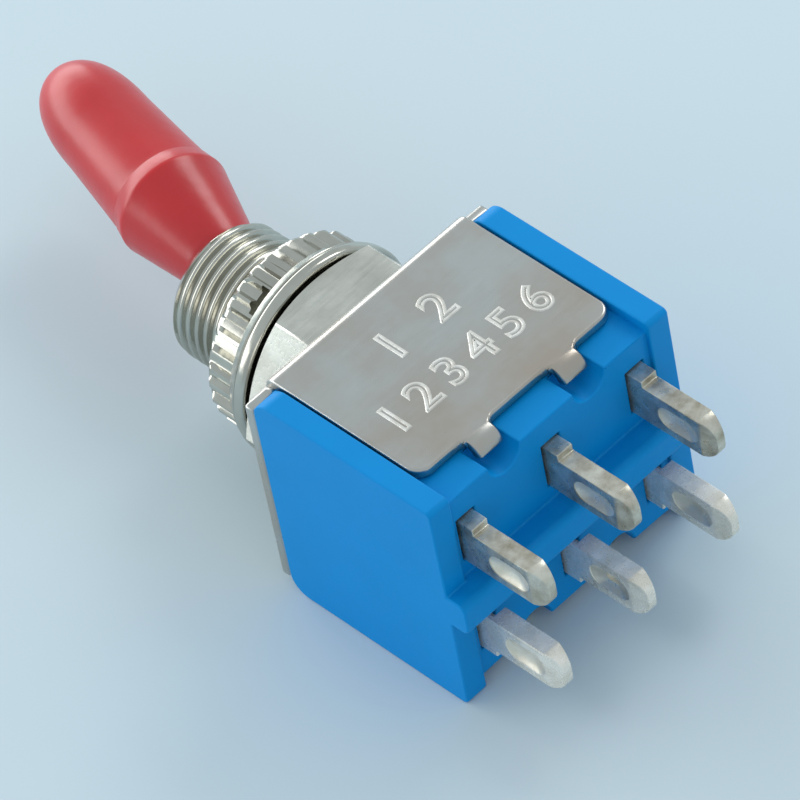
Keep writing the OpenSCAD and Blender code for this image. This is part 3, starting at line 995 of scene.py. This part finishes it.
@dataclass
class Case:
    """Moulded case, in millimetres."""

    edge: float = 0.09
    flange_root: Triple = (5.5, 0.55, 5.05)

    def build(self, material: Material) -> None:
        """Soften the moulding's edges and seat it.

        Args:
            material: Finish of the case.
        """
        x, y, z = self.flange_root
        roots = tuple(Vector((i * x, y, k * z)) for i in (-1, 1) for k in (-1, 1))
        mesh = softened("case", drawing_of("case"), self.edge, roots)
        seat(piece("moulded_case", mesh, material), Body.HOUSING, Slot.BLUE, "case")


@dataclass
class Terminals:
    """Six solder terminals with what is left of the solder in their eyelets, in millimetres."""

    edge: float = 0.05
    pitch: float = 4.7
    row_gap: float = 4.9
    eyelet_y: float = 12.375
    eyelet_w: float = 1.1
    eyelet_l: float = 2.05
    blade_t: float = 0.84
    rim_drop: float = 0.03
    dish_depth: float = 0.24
    fit: float = 0.01
    rings: int = 6
    steps: int = 40
    sharp: float = 60.0
    open_shares: tuple[float, ...] = (0.02, 0.02, 0.02, 0.02, 0.35, 0.02)

    def pool(self, number: int) -> Mesh:
        """Set solder in an eyelet: an oblong plug, dished on both faces and open where it ran thin.

        Args:
            number: Terminal number, from 1 to 6.

        Returns:
            The plug, in millimetres.
        """
        column, row = (number - 1) % 3 - 1, 1 if number <= 3 else -1
        open_share = self.open_shares[number - 1]
        radius, straight = self.eyelet_w / 2 + self.fit, (self.eyelet_l - self.eyelet_w) / 2
        rim = self.blade_t / 2 - self.rim_drop
        outs = [open_share + (1 - open_share) * i / self.rings for i in range(self.rings + 1)]
        turns = [math.tau * (i + 0.5) / self.steps for i in range(self.steps)]
        bm = bmesh.new()
        loops = []
        for out, side in [(out, 1) for out in outs] + [(out, -1) for out in outs[::-1]]:
            face = side * (rim - self.dish_depth * (1 - out ** 2))
            loops.append([bm.verts.new((
                face + column * self.pitch,
                out * (radius * math.cos(t) + math.copysign(straight, math.cos(t))) + self.eyelet_y,
                out * radius * math.sin(t) + row * self.row_gap / 2)) for t in turns])
        joined(bm, loops, closed=True)
        return mesh_of("solder", bm)

    def build(self, upper: Material, lower: Material, solder: Material) -> None:
        """Soften the blades, fill the eyelets and seat all pieces.

        Args:
            upper: Finish of the upper row's blades.
            lower: Finish of the lower row's blades.
            solder: Finish of the solder.
        """
        for number in range(1, 7):
            node = f"terminal_{number}"
            mesh = softened(node, drawing_of(node), self.edge)
            blade = piece(f"tinned_blade_{number}", mesh, upper if number <= 3 else lower)
            seat(blade, Body.HOUSING, Slot.TIN, node)
            fill = piece(f"solder_{number}", self.pool(number), solder, self.sharp)
            seat(fill, Body.HOUSING, Slot.TIN)


@dataclass
class LeverCap:
    """Soft cap on the lever, in millimetres from the lever's pivot."""

    pivot: float = PIVOT
    lean: float = LEAN
    hole_r: float = 1.12
    hole_depth: float = 0.5
    hole_edge: float = 0.05
    mouth: float = 4.2
    mouth_r: float = 1.65
    lip_r: float = 0.1
    lip_inset: float = 0.15
    lip_h: float = 0.35
    shoulder: float = 8.3
    shoulder_r: float = 2.5
    shoulder_round: float = 0.4
    shoulder_turn: float = 20.0
    cone_end: Pair = (0.1, 0.45)  # end of the cone, inwards and back from the shoulder
    step: float = 8.85
    step_r: float = 2.34
    step_round: float = 0.22
    step_turn: Pair = (222.0, 182.0)
    step_end: Pair = (0.02, 0.6)  # start of the taper, inwards and forwards from the step
    waist: float = 13.4
    waist_r: float = 2.12
    taper_shares: tuple[float, ...] = (0.35, 0.7)
    tip: float = 17.45
    bluntness: float = 2.35  # 2 is a round dome, and more is blunter
    dome_rows: int = 22
    steps: int = 96
    sharp: float = 60.0

    def outline(self) -> list[Pair]:
        """Outline of the cap: a cone, a rounded shoulder, a small step, a taper and a full dome.

        Returns:
            Points of radius and distance from the pivot.
        """
        edge, turn, lip, fillet = self.shoulder_round, self.shoulder_turn, self.lip_r, self.step_round
        points = [(self.hole_r, self.mouth + self.hole_depth), (self.hole_r, self.mouth + self.hole_edge)]
        points += arc((self.mouth_r - self.lip_inset, self.mouth + lip), lip, -90.0, -turn, 3)
        points += [(self.mouth_r, self.mouth + self.lip_h),
                   (self.shoulder_r - self.cone_end[0], self.shoulder - self.cone_end[1])]
        points += arc((self.shoulder_r - edge, self.shoulder), edge, -turn, turn, 6)
        points += arc((self.step_r + fillet, self.step + fillet), fillet, *self.step_turn, 4)
        points += [(self.step_r - self.step_end[0], self.step + self.step_end[1])]
        points += [(self.step_r + (self.waist_r - self.step_r) * t, self.step + (self.waist - self.step) * t)
                   for t in self.taper_shares]
        for i in range(self.dome_rows + 1):
            share = math.sin(math.pi / 2 * i / self.dome_rows)
            radius = self.waist_r * max(0.0, 1 - share ** self.bluntness) ** (1 / self.bluntness)
            points.append((radius, self.waist + (self.tip - self.waist) * share))
        return points

    def build(self, material: Material) -> None:
        """Turn the cap, tilt it onto the lever and seat it.

        Args:
            material: Finish of the cap.
        """
        bm = revolved([*self.outline(), (0.0, self.mouth + self.hole_depth)], self.steps, closed=True)
        tilt = Matrix.Translation((0, -self.pivot, 0)) @ Matrix.Rotation(math.radians(-self.lean), 4, "Z")
        bm.transform(tilt)
        seat(piece("dipped_cap", mesh_of("cap", bm), material, self.sharp), Body.LEVER, Slot.RED, "lever_cap")


@dataclass
class Works:
    """Lever and inner works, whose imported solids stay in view."""

    def build(self, nickel: Material) -> None:
        """Dress the lever, the carriage, the plungers, the springs and the rockers.

        Args:
            nickel: Finish of the lever.
        """
        acetal, silver, wire = ACETAL.material(), SILVER.material(), WIRE.material()
        finishes = {"lever": nickel, "carriage": acetal, "spring_upper": wire, "spring_lower": wire,
                    "plunger_upper": silver, "plunger_lower": silver,
                    "rocker_upper": silver, "rocker_lower": silver}
        for node, material in finishes.items():
            dress(node, material)


@dataclass(frozen=True)
class Lamp:
    """Soft light that faces the switch, with sizes in millimetres and power in watts."""

    name: str
    place: Triple
    width: float
    height: float
    power: float

    def hang(self) -> None:
        """Hang the lamp in the scene."""
        data = bpy.data.lights.new(self.name, "AREA")
        data.shape = "RECTANGLE"
        data.size = self.width * MM
        data.size_y = self.height * MM
        data.energy = self.power
        lamp = in_scene(self.name, data)
        lamp.location = Vector(self.place) * MM
        lamp.rotation_euler = (-lamp.location).to_track_quat("-Z", "Y").to_euler()


@dataclass
class Studio:
    """Floor, light and camera, with sizes in millimetres."""

    target: Triple = (-0.24, 0.74, -0.41)
    azimuth: float = 143.19
    elevation: float = 47.47
    roll: float = -11.84
    distance: float = 311.9
    lens: float = 358.7
    sensor: float = 36.0
    floor_colours: tuple[str, str] = ("#CCE0E4", "#C6D9E0")
    floor_patch: float = 1000 / 30  # 30 patches in a metre
    floor_r: float = 2000.0
    floor_gap: float = 0.01
    sky_colour: str = "#CBD6DC"
    daylight_colour: str = "#F4F8FF"
    daylight: float = 0.78
    lamps: tuple[Lamp, ...] = (
        Lamp("window", (60.0, -365.0, 85.0), width=820.0, height=190.0, power=1.4),
        Lamp("side_window", (-285.0, -57.0, 247.0), width=150.0, height=150.0, power=0.3))

    def floor(self) -> None:
        """Lay the pale floor under the switch."""
        mat, place = new_finish("pale_matt_board", {"Roughness": 0.9, "Specular IOR Level": 0.1})
        tree = mat.node_tree
        cloud = add_node(tree, "ShaderNodeTexNoise", {"Vector": place, "Scale": 1 / (self.floor_patch * MM)})
        tone = add_node(tree, "ShaderNodeMix", {
            COLOUR_SHARE: cloud, COLOUR_ONE: linear(self.floor_colours[0]),
            COLOUR_TWO: linear(self.floor_colours[1])}, data_type="RGBA")
        tree.links.new(tone.outputs[COLOUR_OUT], tree.nodes["Principled BSDF"].inputs["Base Color"])
        bm = bmesh.new()
        bmesh.ops.create_circle(bm, cap_ends=True, segments=64, radius=self.floor_r)
        bmesh.ops.translate(bm, vec=(0, 0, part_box("frame")[0].z / MM - self.floor_gap), verts=bm.verts)
        piece("floor", mesh_of("floor", bm), mat)

    def sky(self) -> None:
        """Set the pale surroundings, which cameras and mirrors see at a plain level."""
        world = bpy.data.worlds.new("studio")
        bpy.context.scene.world = world
        world.use_nodes = True
        tree = world.node_tree
        tree.nodes.clear()
        ray = add_node(tree, "ShaderNodeLightPath").outputs
        seen = add_node(tree, MATH, (ray["Is Camera Ray"], ray["Is Glossy Ray"]), operation="ADD")
        shown = add_node(tree, MATH, (seen, ray["Is Transmission Ray"]), operation="ADD", use_clamp=True)
        lit = add_node(tree, "ShaderNodeBackground", {
            "Color": linear(self.daylight_colour), "Strength": self.daylight})
        backdrop = add_node(tree, "ShaderNodeBackground", {"Color": linear(self.sky_colour), "Strength": 1.0})
        mixed = add_node(tree, "ShaderNodeMixShader", (shown, lit, backdrop))
        add_node(tree, "ShaderNodeOutputWorld", (mixed,))

    def camera(self) -> None:
        """Set up the camera."""
        data = bpy.data.cameras.new("camera")
        data.lens = self.lens
        data.sensor_width = self.sensor
        data.clip_start = 0.01
        camera = in_scene("camera", data)
        turn, rise = math.radians(self.azimuth), math.radians(self.elevation)
        back = Vector((math.sin(turn) * math.cos(rise), -math.cos(turn) * math.cos(rise), math.sin(rise)))
        level = (-back).to_track_quat("-Z", "Y").to_matrix().to_4x4()
        rolled = level @ Matrix.Rotation(math.radians(self.roll), 4, "Z")
        camera.matrix_world = Matrix.Translation((Vector(self.target) + back * self.distance) * MM) @ rolled
        bpy.context.scene.camera = camera

    def build(self) -> None:
        """Build the whole studio."""
        self.floor()
        self.sky()
        for lamp in self.lamps:
            lamp.hang()
        self.camera()
        bpy.context.scene.view_settings.view_transform = "Standard"


def main() -> None:
    """Build every sub-assembly in order."""
    logging.basicConfig(level=logging.INFO, format="%(name)s %(message)s")
    nickel = NICKEL.material()
    Studio().build()
    Bushing().build(nickel)
    KnurledNut().build(nickel)
    PlainNuts().build(MILLED.material(), nickel)
    FoldedFrame().build(STRIP_PAINTED_REFLECTION.material(), BURR.material())
    Case().build(POLYESTER.material())
    Terminals().build(TIN.material(), LOWER_ROW_TIN.material(), SOLDER.material())
    LeverCap().build(VINYL.material())
    Works().build(nickel)


if __name__ == "__main__":
    main()
